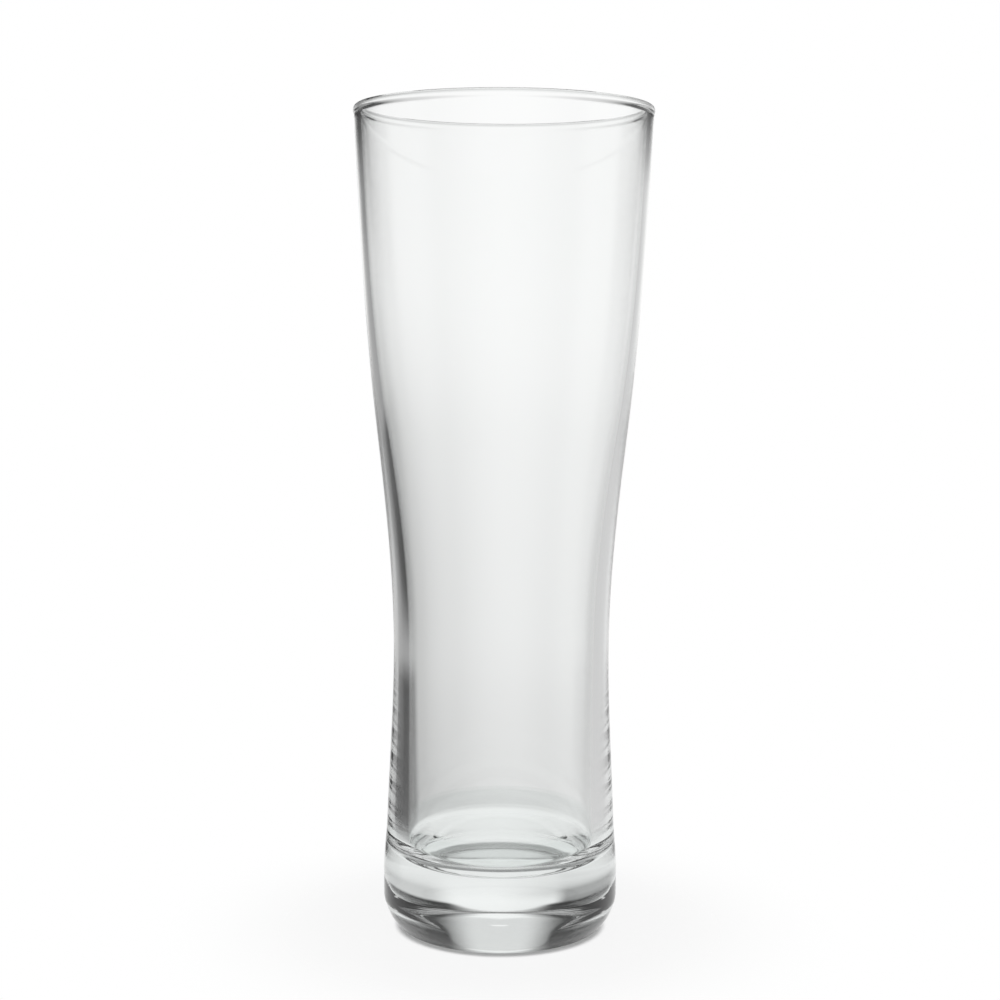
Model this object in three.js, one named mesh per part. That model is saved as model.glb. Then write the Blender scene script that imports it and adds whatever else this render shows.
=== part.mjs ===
// Pilsner glass: a tall clear drinking glass with a heavy base, a narrow waist and a flared bowl.
// Millimetres, +Z up, with the origin at the centre of the ring that the glass stands on.
// A lean is the change of radius for each millimetre of height.
import * as THREE from "three";

// Outside, from the table up.
const glassHeight = 188;
const baseRadius = 27.05;
const heelWidth = 5;
const heelHeight = 8;
const heelFullness = 0.42;
const uprightSide = 5;
const shoulderRadius = 26.25;
const shoulderLean = -0.035;
const waistRadius = 24.78;
const waistHeight = 65;
const flareRadius = 28.6;
const flareHeight = 115;
const flareLean = 0.118;
const rimRadius = 34;
const rimLean = 0.045;

// Inside, from the floor up. The bore runs straight for a little way above its round corner.
const floorHeight = 15.5;
const cornerWidth = 8.4;
const cornerHeight = 6.5;
const boreRun = 3.5;
const shoulderWall = 4.65;
const waistWall = 3.42;
const flareWall = 2.3;
const innerFlareLean = 0.16;
const rimWall = 1.5;

// Underside: a flat ring to stand on, round a domed hollow.
const bearingWidth = 3.2;
const puntDepth = 4.2;

// The bead that fire polishing leaves on the rim, thicker than the wall below it.
const beadWidth = 1.9;
const beadHeight = 2.4;
const beadCrown = 1;

// Fineness of the turned surfaces.
const turnSteps = 64;
const longSteps = 6;
const shortSteps = 4;
const arcSteps = 6;

// The three zones meet on two level faces.
const shoulderHeight = floorHeight + cornerHeight + boreRun;
const boreRadius = shoulderRadius - shoulderWall;
const lipHeight = glassHeight - beadHeight;
const beadRadius = rimRadius - beadWidth / 2;
const lipMiddle = beadRadius - rimLean * (beadHeight - beadCrown);
const lipOutside = lipMiddle + rimWall / 2;
const lipInside = lipMiddle - rimWall / 2;

function at(radius, height) {
  return new THREE.Vector2(radius, height);
}

// A smooth stretch of outline from one point to another, with a given lean at each end.
function sweep(from, fromLean, to, toLean, steps) {
  const third = (to.y - from.y) / 3;
  const afterFrom = at(from.x + fromLean * third, from.y + third);
  const beforeTo = at(to.x - toLean * third, to.y - third);
  return new THREE.CubicBezierCurve(from, afterFrom, beforeTo, to).getPoints(steps);
}

// A quarter or half of an ellipse about a centre.
function bend(centre, width, height, startAngle, endAngle, steps) {
  const clockwise = endAngle < startAngle;
  const curve = new THREE.EllipseCurve(
    centre.x, centre.y, width, height, startAngle, endAngle, clockwise,
  );
  return curve.getPoints(steps);
}

// A clear glass mesh turned about the upright axis from an outline, without its doubled points.
function turned(name, outline, tint, roughness) {
  const points = outline.filter((p, i) => i === 0 || p.distanceTo(outline[i - 1]) > 1e-6);
  const geometry = new THREE.LatheGeometry(points, turnSteps);
  geometry.rotateX(Math.PI / 2);
  const material = new THREE.MeshStandardMaterial({
    color: tint,
    roughness,
    metalness: 0,
    transparent: true,
    opacity: 0.35,
  });
  const mesh = new THREE.Mesh(geometry, material);
  mesh.name = name;
  return mesh;
}

// The solid base: a hollowed underside, a heel, and the flat floor of the bore on top.
// The fullness of the heel runs from 0, a straight bevel, to about 0.55, a round.
function shamBase() {
  const footRadius = baseRadius - heelWidth;
  const puntRadius = footRadius - bearingWidth;
  const punt = new THREE.QuadraticBezierCurve(
    at(0, puntDepth), at(puntRadius / 2, puntDepth), at(puntRadius, 0),
  );
  const heel = new THREE.CubicBezierCurve(
    at(footRadius, 0),
    at(footRadius + heelFullness * heelWidth, 0),
    at(baseRadius, heelHeight - heelFullness * heelHeight),
    at(baseRadius, heelHeight),
  );
  const sideTop = at(baseRadius, heelHeight + uprightSide);
  const shoulder = at(shoulderRadius, shoulderHeight);
  const cornerCentre = at(boreRadius - cornerWidth, floorHeight + cornerHeight);
  const outline = [
    ...punt.getPoints(shortSteps),
    ...heel.getPoints(arcSteps),
    ...sweep(sideTop, 0, shoulder, shoulderLean, shortSteps),
    at(boreRadius, shoulderHeight),
    ...bend(cornerCentre, cornerWidth, cornerHeight, 0, -Math.PI / 2, arcSteps),
    at(0, floorHeight),
  ];
  return turned("sham_base", outline, 0xe3ebe8, 0.04);
}

// The blown wall, from the shoulder of the base through the waist and the flare to the lip.
function bowlWall() {
  const shoulder = at(shoulderRadius, shoulderHeight);
  const waist = at(waistRadius, waistHeight);
  const flare = at(flareRadius, flareHeight);
  const lip = at(lipOutside, lipHeight);
  const innerLip = at(lipInside, lipHeight);
  const innerFlare = at(flareRadius - flareWall, flareHeight);
  const innerWaist = at(waistRadius - waistWall, waistHeight);
  const bore = at(boreRadius, shoulderHeight);
  const outline = [
    bore,
    ...sweep(shoulder, shoulderLean, waist, 0, longSteps),
    ...sweep(waist, 0, flare, flareLean, longSteps),
    ...sweep(flare, flareLean, lip, rimLean, longSteps),
    ...sweep(innerLip, rimLean, innerFlare, innerFlareLean, longSteps),
    ...sweep(innerFlare, innerFlareLean, innerWaist, 0, longSteps),
    ...sweep(innerWaist, 0, bore, 0, longSteps),
  ];
  return turned("bowl_wall", outline, 0xeef2f1, 0.03);
}

// The rounded bead, which swells from the lip and closes over the top.
function rimBead() {
  const crownCentre = at(beadRadius, glassHeight - beadCrown);
  const outerLip = at(lipOutside, lipHeight);
  const innerLip = at(lipInside, lipHeight);
  const outerSwell = at(rimRadius, crownCentre.y);
  const innerSwell = at(rimRadius - beadWidth, crownCentre.y);
  const outline = [
    innerLip,
    ...sweep(outerLip, rimLean, outerSwell, 0, shortSteps),
    ...bend(crownCentre, beadWidth / 2, beadCrown, 0, Math.PI, arcSteps),
    ...sweep(innerSwell, 0, innerLip, rimLean, shortSteps),
  ];
  return turned("rim_bead", outline, 0xf4f7f6, 0.02);
}

const glass = new THREE.Group();
glass.name = "pilsner_glass";
glass.add(shamBase(), bowlWall(), rimBead());

export default glass;
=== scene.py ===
import math

import bmesh
import bpy
from mathutils import Matrix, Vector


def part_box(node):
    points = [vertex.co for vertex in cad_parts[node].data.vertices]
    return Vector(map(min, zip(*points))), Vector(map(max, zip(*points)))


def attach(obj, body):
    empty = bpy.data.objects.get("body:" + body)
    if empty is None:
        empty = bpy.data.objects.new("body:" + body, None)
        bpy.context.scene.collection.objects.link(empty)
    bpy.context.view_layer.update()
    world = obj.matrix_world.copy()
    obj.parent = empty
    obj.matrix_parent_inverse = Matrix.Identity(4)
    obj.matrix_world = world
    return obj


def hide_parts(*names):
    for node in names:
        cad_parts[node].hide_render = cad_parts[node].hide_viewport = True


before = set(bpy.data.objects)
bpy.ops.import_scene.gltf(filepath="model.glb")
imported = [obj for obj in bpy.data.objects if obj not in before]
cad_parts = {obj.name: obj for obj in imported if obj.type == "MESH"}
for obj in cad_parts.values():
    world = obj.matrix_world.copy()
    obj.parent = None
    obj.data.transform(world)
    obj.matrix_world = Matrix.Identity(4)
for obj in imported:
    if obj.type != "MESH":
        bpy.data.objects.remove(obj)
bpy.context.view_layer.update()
scene = bpy.context.scene
mm = 0.001
print("frame loaded:", ", ".join(sorted(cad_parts)))

# heights and radii that the frame already fixes
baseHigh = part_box("sham_base")[1]
wallLow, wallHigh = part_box("bowl_wall")
rimLow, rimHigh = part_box("rim_bead")
baseRadius = baseHigh.x
shoulderHeight = wallLow.z
lipRadius = wallHigh.x
lipHeight = rimLow.z
rimRadius = rimHigh.x
glassHeight = rimHigh.z

turnSet = {
    "steps": 192,  # facets round the glass
    "mergeGap": 1e-7,  # points closer than this are one point
    "levelFacing": 0.999,  # upright share of a level face's normal
    "seamGap": 1e-5,  # how far from its height a fused face may lie
}

baseSizes = {
    "heelWidth": 5 * mm,
    "heelHeight": 8 * mm,
    "heelFullness": 0.42,  # 0 would be a straight bevel, 0.55 a round
    "uprightSide": 5 * mm,
    "shoulderRadius": 26.25 * mm,
    "shoulderLean": -0.035,  # change of radius for each metre of height
    "shoulderWall": 4.65 * mm,
    "floorHeight": 15.5 * mm,
    "floorRings": (0.97, 0.8, 0.5, 0.2, 0),  # shares of the flat floor's radius
    "cornerWidth": 8.4 * mm,
    "cornerHeight": 6.5 * mm,
    "bearingWidth": 3.2 * mm,
    "puntDepth": 4.2 * mm,
    "puntEdge": 0.5 * mm,
    "puntSteps": 24,
    "edgeSteps": 8,
    "heelSteps": 48,
    "sideSteps": 24,
    "cornerSteps": 48,
}

bowlSizes = {
    "waistRadius": 24.78 * mm,
    "waistHeight": 65 * mm,
    "waistWall": 3.42 * mm,
    "flareRadius": 28.6 * mm,
    "flareHeight": 115 * mm,
    "flareLean": 0.118,
    "flareWall": 2.3 * mm,
    "innerFlareLean": 0.16,
    "rimWall": 1.5 * mm,
    "rimLean": 0.045,
    "waistSteps": 32,
    "lipSteps": 40,
}

rimSizes = {
    "beadWidth": 1.9 * mm,
    "beadCrown": 1 * mm,
    "swellSteps": 16,
    "crownSteps": 40,
}

boreRadius = baseSizes["shoulderRadius"] - baseSizes["shoulderWall"]
lipInside = lipRadius - bowlSizes["rimWall"]


# outline of a smooth stretch, drawn from its two ends and the handle at each
def stretch(start, startHandle, endHandle, end, steps):
    corners = (start, startHandle, endHandle, end)
    points = []
    for i in range(steps + 1):
        t = i / steps
        shares = ((1 - t) ** 3, 3 * t * (1 - t) ** 2, 3 * t**2 * (1 - t), t**3)
        points.append(tuple(sum(w * c[k] for w, c in zip(shares, corners)) for k in (0, 1)))
    return points


# a stretch that leans by a given amount at each end
def sweep(start, startLean, end, endLean, steps):
    third = (end[1] - start[1]) / 3
    startHandle = (start[0] + startLean * third, start[1] + third)
    endHandle = (end[0] - endLean * third, end[1] - third)
    return stretch(start, startHandle, endHandle, end, steps)


# outline of part of an ellipse, angles in quarter turns from straight out
def bend(centre, width, height, startTurn, endTurn, steps):
    points = []
    for i in range(steps + 1):
        angle = math.pi / 2 * (startTurn + (endTurn - startTurn) * i / steps)
        points.append((centre[0] + width * math.cos(angle), centre[1] + height * math.sin(angle)))
    return points


# turns an outline about the upright axis into one closed piece
def turnPiece(name, outline, seamHeights, closes):
    bm = bmesh.new()
    verts = []
    for radius, height in outline:
        if not verts or math.dist(verts[-1].co, (radius, 0, height)) > turnSet["mergeGap"]:
            verts.append(bm.verts.new((radius, 0, height)))
    edges = [bm.edges.new(pair) for pair in zip(verts, verts[1:])]
    if closes:
        edges.append(bm.edges.new((verts[-1], verts[0])))
    bmesh.ops.spin(
        bm, geom=verts + edges, cent=(0, 0, 0), axis=(0, 0, 1), dvec=(0, 0, 0),
        angle=2 * math.pi, steps=turnSet["steps"], use_merge=True, use_duplicate=False,
    )
    bmesh.ops.remove_doubles(bm, verts=bm.verts[:], dist=turnSet["mergeGap"])
    bmesh.ops.recalc_face_normals(bm, faces=bm.faces[:])
    for face in bm.faces:
        face.smooth = True
        middle = face.calc_center_median().z
        fused = any(abs(middle - height) < turnSet["seamGap"] for height in seamHeights)
        if fused and abs(face.normal.z) > turnSet["levelFacing"]:
            face.material_index = 1  # level face that is fused to the next piece
            for edge in face.edges:
                edge.smooth = False
    mesh = bpy.data.meshes.new(name)
    bm.to_mesh(mesh)
    bm.free()
    piece = bpy.data.objects.new(name, mesh)
    scene.collection.objects.link(piece)
    print(name, "made with", len(mesh.polygons), "faces")
    return piece


# solid base: hollowed underside, ring to stand on, heel, side, and the floor of the bore
def makeBase():
    sizes = baseSizes
    footRadius = baseRadius - sizes["heelWidth"]
    puntRadius = footRadius - sizes["bearingWidth"]
    slope = 2 * sizes["puntDepth"] / puntRadius
    edgeInside = (puntRadius - sizes["puntEdge"], slope * sizes["puntEdge"])
    edgeOutside = (puntRadius + sizes["puntEdge"], 0)
    edgeCorner = (puntRadius, 0)
    dome = []
    for i in range(sizes["puntSteps"]):
        share = edgeInside[0] / puntRadius * i / sizes["puntSteps"]
        dome.append((puntRadius * share, sizes["puntDepth"] * (1 - share**2)))
    heelStart = (footRadius, 0)
    heelEnd = (baseRadius, sizes["heelHeight"])
    heelOut = (footRadius + sizes["heelFullness"] * sizes["heelWidth"], 0)
    heelDown = (baseRadius, sizes["heelHeight"] * (1 - sizes["heelFullness"]))
    shoulder = (sizes["shoulderRadius"], shoulderHeight)
    sideTop = (baseRadius, sizes["heelHeight"] + sizes["uprightSide"])
    cornerCentre = (boreRadius - sizes["cornerWidth"], sizes["floorHeight"] + sizes["cornerHeight"])
    outline = (
        dome
        + stretch(edgeInside, edgeCorner, edgeCorner, edgeOutside, sizes["edgeSteps"])
        + stretch(heelStart, heelOut, heelDown, heelEnd, sizes["heelSteps"])
        + sweep(sideTop, 0, shoulder, sizes["shoulderLean"], sizes["sideSteps"])
        + [(boreRadius, shoulderHeight)]
        + bend(cornerCentre, sizes["cornerWidth"], sizes["cornerHeight"], 0, -1, sizes["cornerSteps"])
        + [(cornerCentre[0] * share, sizes["floorHeight"]) for share in sizes["floorRings"]]
    )
    return turnPiece("base_glass", outline, [shoulderHeight], False)


# blown wall, up the outside from the shoulder to the lip and down the inside
def makeBowl():
    sizes = bowlSizes
    waistSteps, lipSteps = sizes["waistSteps"], sizes["lipSteps"]
    shoulder = (baseSizes["shoulderRadius"], shoulderHeight)
    bore = (boreRadius, shoulderHeight)
    waist = (sizes["waistRadius"], sizes["waistHeight"])
    flare = (sizes["flareRadius"], sizes["flareHeight"])
    lip = (lipRadius, lipHeight)
    innerLip = (lipInside, lipHeight)
    innerFlare = (sizes["flareRadius"] - sizes["flareWall"], sizes["flareHeight"])
    innerWaist = (sizes["waistRadius"] - sizes["waistWall"], sizes["waistHeight"])
    outline = (
        sweep(shoulder, baseSizes["shoulderLean"], waist, 0, waistSteps)
        + sweep(waist, 0, flare, sizes["flareLean"], waistSteps)
        + sweep(flare, sizes["flareLean"], lip, sizes["rimLean"], lipSteps)
        + sweep(innerLip, sizes["rimLean"], innerFlare, sizes["innerFlareLean"], lipSteps)
        + sweep(innerFlare, sizes["innerFlareLean"], innerWaist, 0, waistSteps)
        + sweep(innerWaist, 0, bore, 0, waistSteps)
    )
    return turnPiece("bowl_glass", outline, [shoulderHeight, lipHeight], True)


# bead of the rim, which swells from the lip and closes over the top
def makeRim():
    sizes = rimSizes
    halfWidth = sizes["beadWidth"] / 2
    crownCentre = (rimRadius - halfWidth, glassHeight - sizes["beadCrown"])
    outerLip = (lipRadius, lipHeight)
    innerLip = (lipInside, lipHeight)
    outerSwell = (rimRadius, crownCentre[1])
    innerSwell = (rimRadius - sizes["beadWidth"], crownCentre[1])
    outline = (
        sweep(outerLip, bowlSizes["rimLean"], outerSwell, 0, sizes["swellSteps"])
        + bend(crownCentre, halfWidth, sizes["beadCrown"], 0, 2, sizes["crownSteps"])
        + sweep(innerSwell, 0, innerLip, bowlSizes["rimLean"], sizes["swellSteps"])
    )
    return turnPiece("rim_glass", outline, [lipHeight], True)


# adds a node, with sockets given by name as values or as links
def addNode(tree, kind, sockets=None, **settings):
    node = tree.nodes.new(kind)
    for key, value in settings.items():
        setattr(node, key, value)
    for key, value in (sockets or {}).items():
        if isinstance(value, bpy.types.NodeSocket):
            tree.links.new(value, node.inputs[key])
        else:
            node.inputs[key].default_value = value
    return node


def addMath(tree, operation, first, second=0.0, third=0.0):
    node = addNode(tree, "ShaderNodeMath", {0: first, 1: second, 2: third}, operation=operation)
    return node.outputs[0]


def addRamp(tree, value, low, high, start, end):
    sockets = {"Value": value, "From Min": low, "From Max": high, "To Min": start, "To Max": end}
    return addNode(tree, "ShaderNodeMapRange", sockets, interpolation_type="SMOOTHSTEP").outputs["Result"]


def addMix(tree, factor, first, second):
    return addNode(tree, "ShaderNodeMix", {"Factor": factor, "A": first, "B": second}).outputs["Result"]


def addNoise(tree, place, scale, detail):
    return addNode(
        tree, "ShaderNodeTexNoise", {"Vector": place, "Scale": scale, "Detail": detail}
    ).outputs["Fac"]


surfaceSet = {
    "streakStretch": (1, 1, 0.05),  # upright streaks left by blowing
    "streakScale": 170,
    "streakDetail": 2,
    "waveStretch": (0.12, 0.12, 1),  # level waves where the glass chilled in the mould
    "waveScale": 130,
    "waveDetail": 1,
    "patchScale": 48,  # smears, and places of deeper tint
    "patchDetail": 4,
    "smearEdge": (0.52, 0.78),
}


# fine waves, smears and tint of blown glass, shared by the three pieces
def glassSurface():
    look = surfaceSet
    group = bpy.data.node_groups.new("glassSurface", "ShaderNodeTree")
    for name, kind in (
        ("Draw Lines", "NodeSocketFloat"),
        ("Rings", "NodeSocketFloat"),
        ("Smear", "NodeSocketFloat"),
        ("Clear Tint", "NodeSocketColor"),
        ("Deep Tint", "NodeSocketColor"),
    ):
        group.interface.new_socket(name, in_out="INPUT", socket_type=kind)
    for name, kind in (
        ("Height", "NodeSocketFloat"),
        ("Roughness", "NodeSocketFloat"),
        ("Tint", "NodeSocketColor"),
    ):
        group.interface.new_socket(name, in_out="OUTPUT", socket_type=kind)
    given = addNode(group, "NodeGroupInput").outputs
    place = addNode(group, "ShaderNodeTexCoord").outputs["Object"]
    upright = addNode(group, "ShaderNodeMapping", {"Vector": place, "Scale": look["streakStretch"]})
    level = addNode(group, "ShaderNodeMapping", {"Vector": place, "Scale": look["waveStretch"]})
    streaks = addNoise(group, upright.outputs[0], look["streakScale"], look["streakDetail"])
    waves = addNoise(group, level.outputs[0], look["waveScale"], look["waveDetail"])
    patches = addNoise(group, place, look["patchScale"], look["patchDetail"])
    lines = addMath(group, "MULTIPLY", streaks, given["Draw Lines"])
    height = addMath(group, "MULTIPLY_ADD", waves, given["Rings"], lines)
    smeared = addRamp(group, patches, *look["smearEdge"], 0.0, 1.0)
    rough = addMath(group, "MULTIPLY", smeared, given["Smear"])
    tint = addNode(
        group, "ShaderNodeMix", {6: given["Clear Tint"], 7: given["Deep Tint"], "Factor": patches},
        data_type="RGBA",
    ).outputs[2]
    addNode(group, "NodeGroupOutput", {"Height": height, "Roughness": rough, "Tint": tint})
    return group


surfaceGroup = glassSurface()

glassSet = {
    "index": 1.52,
    "drawLines": 0.7,  # share of the upright streaks in the surface
    "waveDepth": 0.006 * mm,
    "smear": 0.012,  # roughness of the faintly smeared places
    "scuff": 0.3,  # roughness of the worn ring that it stands on
    "scratchScale": 900,
    "scratchDetail": 3,
    "scratchEdge": (0.4, 0.65),
    "scratchLeast": 0.2,
}

thickSet = {
    "clearTint": (0.91, 0.93, 0.922),
    "deepTint": (0.87, 0.9, 0.89),
    "rings": 0.8,  # share of the level waves in the surface
    "scuffHeight": 0.25 * mm,
}

wallSet = {
    "clearTint": (0.99, 0.994, 0.992),
    "deepTint": (0.98, 0.988, 0.984),
    "rings": 0.4,
    "scuffHeight": 0,
}

polishedSet = {
    "clearTint": (0.992, 0.996, 0.994),
    "deepTint": (0.985, 0.992, 0.988),
    "rings": 0.2,
    "scuffHeight": 0,
}


def clearGlass(name, look):
    material = bpy.data.materials.new(name)
    material.use_nodes = True
    tree = material.node_tree
    shader = tree.nodes["Principled BSDF"]
    shader.inputs["IOR"].default_value = glassSet["index"]
    shader.inputs["Transmission Weight"].default_value = 1
    sockets = {
        "Draw Lines": glassSet["drawLines"],
        "Rings": look["rings"],
        "Smear": glassSet["smear"],
        "Clear Tint": (*look["clearTint"], 1),
        "Deep Tint": (*look["deepTint"], 1),
    }
    surface = addNode(tree, "ShaderNodeGroup", sockets, node_tree=surfaceGroup)
    bump = addNode(
        tree, "ShaderNodeBump",
        {"Height": surface.outputs["Height"], "Distance": glassSet["waveDepth"], "Strength": 1},
    )
    rough = surface.outputs["Roughness"]
    if look["scuffHeight"]:
        place = addNode(tree, "ShaderNodeTexCoord").outputs["Object"]
        height = addNode(tree, "ShaderNodeSeparateXYZ", {0: place}).outputs["Z"]
        worn = addRamp(tree, height, look["scuffHeight"], 0.0, 0.0, 1.0)
        scratches = addNoise(tree, place, glassSet["scratchScale"], glassSet["scratchDetail"])
        marks = addRamp(tree, scratches, *glassSet["scratchEdge"], glassSet["scratchLeast"], 1.0)
        scuff = addMath(tree, "MULTIPLY", addMath(tree, "MULTIPLY", worn, marks), glassSet["scuff"])
        rough = addMath(tree, "ADD", rough, scuff)
    tree.links.new(surface.outputs["Tint"], shader.inputs["Base Color"])
    tree.links.new(rough, shader.inputs["Roughness"])
    tree.links.new(bump.outputs["Normal"], shader.inputs["Normal"])
    return material


# the level faces between two pieces don't show, because the glass runs on
def fusedSeam():
    material = bpy.data.materials.new("fused_seam")
    material.use_nodes = True
    nodes = material.node_tree.nodes
    nodes.remove(nodes["Principled BSDF"])
    clear = nodes.new("ShaderNodeBsdfTransparent")
    material.node_tree.links.new(clear.outputs[0], nodes["Material Output"].inputs["Surface"])
    return material


seam = fusedSeam()
thickGlass = clearGlass("thick_glass", thickSet)
wallGlass = clearGlass("wall_glass", wallSet)
rimGlass = clearGlass("polished_glass", polishedSet)
pieces = [
    (makeBase(), "sham_base", "base_glass", thickGlass),
    (makeBowl(), "bowl_wall", "bowl_glass", wallGlass),
    (makeRim(), "rim_bead", "rim_glass", rimGlass),
]
for piece, node, slot, glass in pieces:
    piece.data.materials.append(glass)
    piece.data.materials.append(seam)
    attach(piece, "root")
    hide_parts(node)
print("glass pieces dressed")


cameraSet = {
    "distance": 419.25 * mm,
    "height": 136.57 * mm,
    "pitch": 0.0890,
    "yaw": 0.0011,
    "roll": 0.0053,
    "lens": 66.03,
    "sensor": 36,
}


def makeCamera():
    view = cameraSet
    data = bpy.data.cameras.new("camera")
    data.lens = view["lens"]
    data.sensor_width = view["sensor"]
    data.sensor_fit = "HORIZONTAL"
    camera = bpy.data.objects.new("camera", data)
    scene.collection.objects.link(camera)
    turn = (
        Matrix.Rotation(view["yaw"], 4, "Z")
        @ Matrix.Rotation(math.pi / 2 - view["pitch"], 4, "X")
        @ Matrix.Rotation(view["roll"], 4, "Z")
    )
    camera.matrix_world = Matrix.Translation((0, -view["distance"], view["height"])) @ turn
    scene.camera = camera
    print("camera placed")


makeCamera()

floorSet = {
    "radius": 100 * mm,
    "sides": 96,
    "drop": 0.2 * mm,
    "colour": 0.9,
    "contactShadeShare": 0.8,  # how much of the floor's own shading shows in place of the white where the foot stands: a painted contact shadow, darker than white even where lit, with the real shadow in it
    "nearShadeShare": 0.1,  # and close round it, a faint painted shade with the real shadow in it
    "contactRadius": 21 * mm,
    "contactEdge": (2 * mm, 4 * mm),
    "shadowEdge": (30 * mm, 90 * mm),
    "fadeEdge": (35 * mm, 98 * mm),  # the floor fades out between these
}


# pale floor that keeps the shadow close by and runs out to the white of the backdrop; round the foot a
# painted contact shadow darkens it as well
def makeFloor():
    look = floorSet
    bm = bmesh.new()
    bmesh.ops.create_circle(bm, cap_ends=True, segments=look["sides"], radius=look["radius"])
    bmesh.ops.translate(bm, verts=bm.verts[:], vec=(0, 0, -look["drop"]))
    mesh = bpy.data.meshes.new("floor")
    bm.to_mesh(mesh)
    bm.free()
    floor = bpy.data.objects.new("floor", mesh)
    scene.collection.objects.link(floor)
    material = bpy.data.materials.new("pale_floor")
    material.use_nodes = True
    tree = material.node_tree
    tree.nodes.remove(tree.nodes["Principled BSDF"])
    matt = addNode(tree, "ShaderNodeBsdfDiffuse", {"Color": (*[look["colour"]] * 3, 1)})
    white = addNode(tree, "ShaderNodeEmission", {"Color": (1, 1, 1, 1), "Strength": 1})
    clear = addNode(tree, "ShaderNodeBsdfTransparent")
    path = addNode(tree, "ShaderNodeLightPath").outputs
    place = addNode(tree, "ShaderNodeTexCoord").outputs["Object"]
    away = addNode(tree, "ShaderNodeVectorMath", {0: place}, operation="LENGTH").outputs["Value"]

    # share of its own shading, by the distance from the middle: a ring of painted contact shadow under
    # the foot and faint painted shade close round it, both with the real shadow showing in them
    ring = addMath(tree, "ABSOLUTE", addMath(tree, "SUBTRACT", away, look["contactRadius"]))
    own = addRamp(tree, ring, *look["contactEdge"], look["contactShadeShare"], look["nearShadeShare"])
    own = addMath(tree, "MULTIPLY", own, addRamp(tree, away, *look["shadowEdge"], 1.0, 0.0))
    bare = addMath(tree, "SUBTRACT", 1.0, own)

    # the camera sees the white, and so do the mirrored and the bent rays of the glass
    looking = addMath(tree, "MAXIMUM", path["Is Camera Ray"], path["Is Glossy Ray"])
    looking = addMath(tree, "MAXIMUM", looking, path["Is Transmission Ray"])
    share = addMath(tree, "MULTIPLY", bare, looking)
    blend = addNode(tree, "ShaderNodeMixShader", {0: share, 1: matt.outputs[0], 2: white.outputs[0]})
    fade = addRamp(tree, away, *look["fadeEdge"], 0.0, 1.0)
    edge = addNode(tree, "ShaderNodeMixShader", {0: fade, 1: blend.outputs[0], 2: clear.outputs[0]})
    tree.links.new(edge.outputs[0], tree.nodes["Material Output"].inputs["Surface"])
    mesh.materials.append(material)
    print("floor laid")


makeFloor()

# how bright each part of the room is, where 1 is white
studioSet = {
    "panel": 1.0,  # white panel behind the glass
    "panelSlant": 1.2,  # how steeply its top slants away to both sides
    "panelLow": 0.74,  # the sweep of paper below the panel
    "shadeLow": 0.6,  # how far the light falls off towards the left, near the ground and above
    "shadeHigh": 0.92,
    "above": 0.75,
    "ceiling": 0.4,
    "dark": 0.012,  # gaps beside the panel, darkest high up
    "gapLeft": 0.26,
    "gapRight": 0.62,
    "strip": 0.36,  # pale ground far off at the left, and the darker ground this side of it
    "groundLeft": 0.07,
    "ground": 0.95,  # ground close below, all round
    "wallLeft": 0.68,  # softer panels at the two sides
    "wallRight": 0.78,
    "wallHigh": 0.1,  # share of their light that is left high up
    "front": 0.8,  # broad soft light from the front
    "frontSide": 0.55,
}

# where each soft edge of the room starts and ends
studioEdges = {
    "stripLow": (-0.22, -0.17),  # heights, as sines of the angle above level
    "horizon": (-0.01, 0.05),
    "gapLeftHigh": (0.08, 0.16),
    "gapRightHigh": (0.06, 0.22),
    "panelLow": (-0.36, 0.03),
    "shadeLow": (-0.15, 0.05),
    "topLow": (0.05, 0.12),
    "panelTop": (0.34, 0.5),
    "wallTop": (0.15, 0.4),
    "ceiling": (0.7, 0.95),
    "ground": (-0.5, -0.4),
    "panelLeft": (-0.42, -0.3),  # sides, as sines of the angle off straight behind
    "panelRight": (0.23, 0.47),
    "shadeLeft": (-0.35, 0.05),
    "aboveSide": (0.1, 0.35),
    "frontSide": (0.2, 0.9),
    "wallMiddle": (-0.2, 0.2),
    "wallStart": (0.85, 0.97),
    "behind": (-0.15, 0.15),  # depth, from in front of the glass to behind it
}

leastLevel = 0.05  # keeps the sines finite straight up and straight down


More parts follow.
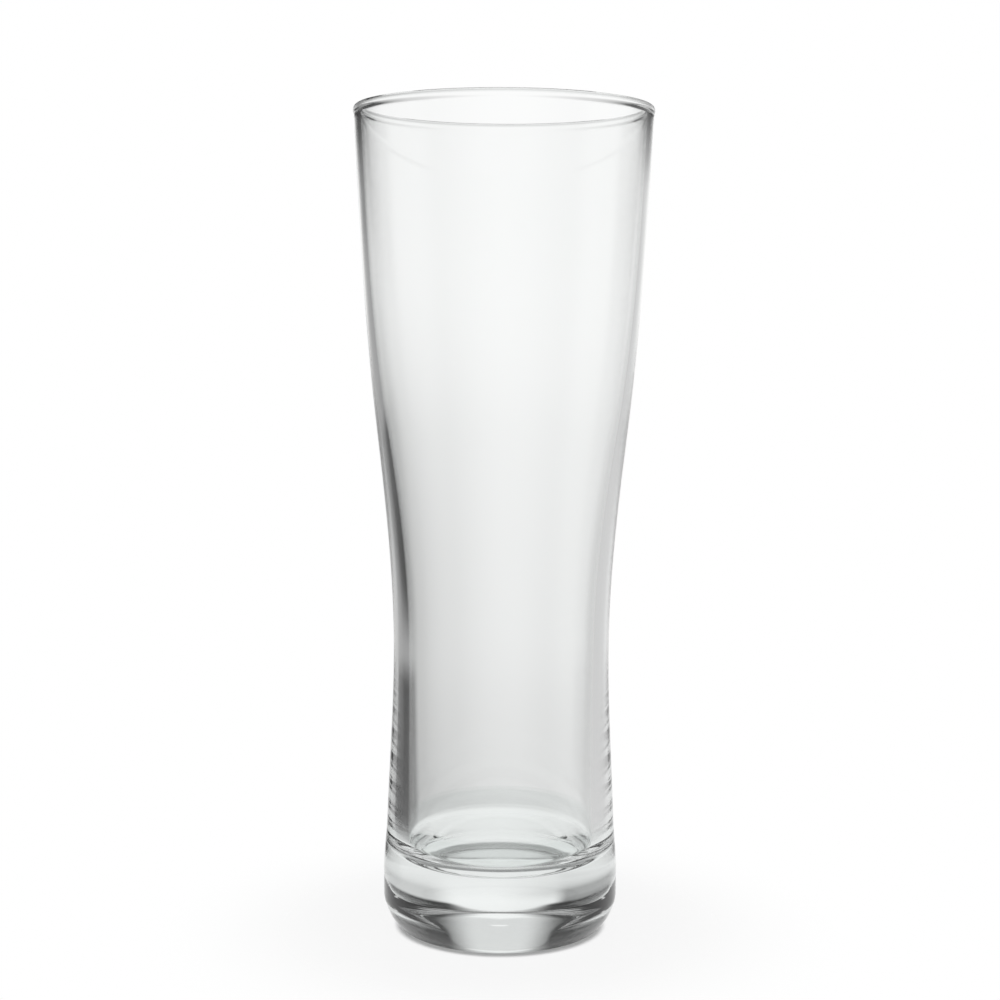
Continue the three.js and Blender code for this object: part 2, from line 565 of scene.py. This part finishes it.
# one soft room for every ray, with darker gaps beside the panel that draw the edges of clear glass
def makeWorld():
    light = studioSet
    world = bpy.data.worlds.new("studio")
    scene.world = world
    world.use_nodes = True
    tree = world.node_tree
    coord = addNode(tree, "ShaderNodeTexCoord").outputs["Generated"]
    x, y, z = addNode(tree, "ShaderNodeSeparateXYZ", {0: coord}).outputs
    level = addMath(tree, "SQRT", addMath(tree, "SUBTRACT", 1.0, addMath(tree, "MULTIPLY", z, z)))
    level = addMath(tree, "MAXIMUM", level, leastLevel)
    side = addMath(tree, "DIVIDE", x, level)
    aside = addMath(tree, "ABSOLUTE", side)

    def across(value, edge, start=0.0, end=1.0):
        return addRamp(tree, value, *studioEdges[edge], start, end)

    # panel with its two gaps
    strip = across(z, "stripLow", light["groundLeft"], light["strip"])
    gapLeft = across(z, "gapLeftHigh", light["gapLeft"], light["dark"])
    gapLeft = addMix(tree, across(z, "horizon"), strip, gapLeft)
    gapRight = across(z, "gapRightHigh", light["gapRight"], light["dark"])
    panel = across(z, "panelLow", light["panelLow"], light["panel"])
    shade = across(z, "shadeLow", light["shadeLow"], light["shadeHigh"])
    panel = addMath(tree, "MULTIPLY", panel, across(side, "shadeLeft", shade, 1.0))
    walls = addMix(tree, across(side, "panelLeft"), gapLeft, panel)
    walls = addMix(tree, across(side, "panelRight"), walls, gapRight)
    above = across(aside, "aboveSide", light["above"], light["dark"])
    above = addMath(tree, "MINIMUM", above, walls)
    slant = addMath(tree, "MULTIPLY_ADD", aside, light["panelSlant"], z)
    top = addMath(tree, "MULTIPLY", across(slant, "panelTop"), across(z, "topLow"))
    walls = addMix(tree, top, walls, above)

    # the other three sides, the ceiling and the ground
    front = across(aside, "frontSide", light["front"], light["frontSide"])
    behind = across(addMath(tree, "DIVIDE", y, level), "behind")
    walls = addMix(tree, behind, front, walls)
    beside = across(side, "wallMiddle", light["wallLeft"], light["wallRight"])
    beside = addMath(tree, "MULTIPLY", beside, across(z, "wallTop", 1.0, light["wallHigh"]))
    walls = addMix(tree, across(aside, "wallStart"), walls, beside)
    room = addMix(tree, across(z, "ceiling"), walls, light["ceiling"])
    room = addMix(tree, across(z, "ground"), light["ground"], room)

    # the camera itself sees white all round
    camera = addNode(tree, "ShaderNodeLightPath").outputs["Is Camera Ray"]
    seen = addMix(tree, camera, room, 1.0)
    background = tree.nodes["Background"]
    background.inputs["Color"].default_value = (1, 1, 1, 1)
    tree.links.new(seen, background.inputs["Strength"])
    print("studio surroundings lit")


makeWorld()

bounceSet = {
    "light": 28,  # light is mirrored many times inside the base and the wall
    "clear": 24,  # fused faces and the edge of the floor that a ray may pass
}
scene.view_settings.view_transform = "Standard"
scene.cycles.max_bounces = bounceSet["light"]
scene.cycles.glossy_bounces = bounceSet["light"]
scene.cycles.transmission_bounces = bounceSet["light"]
scene.cycles.transparent_max_bounces = bounceSet["clear"]
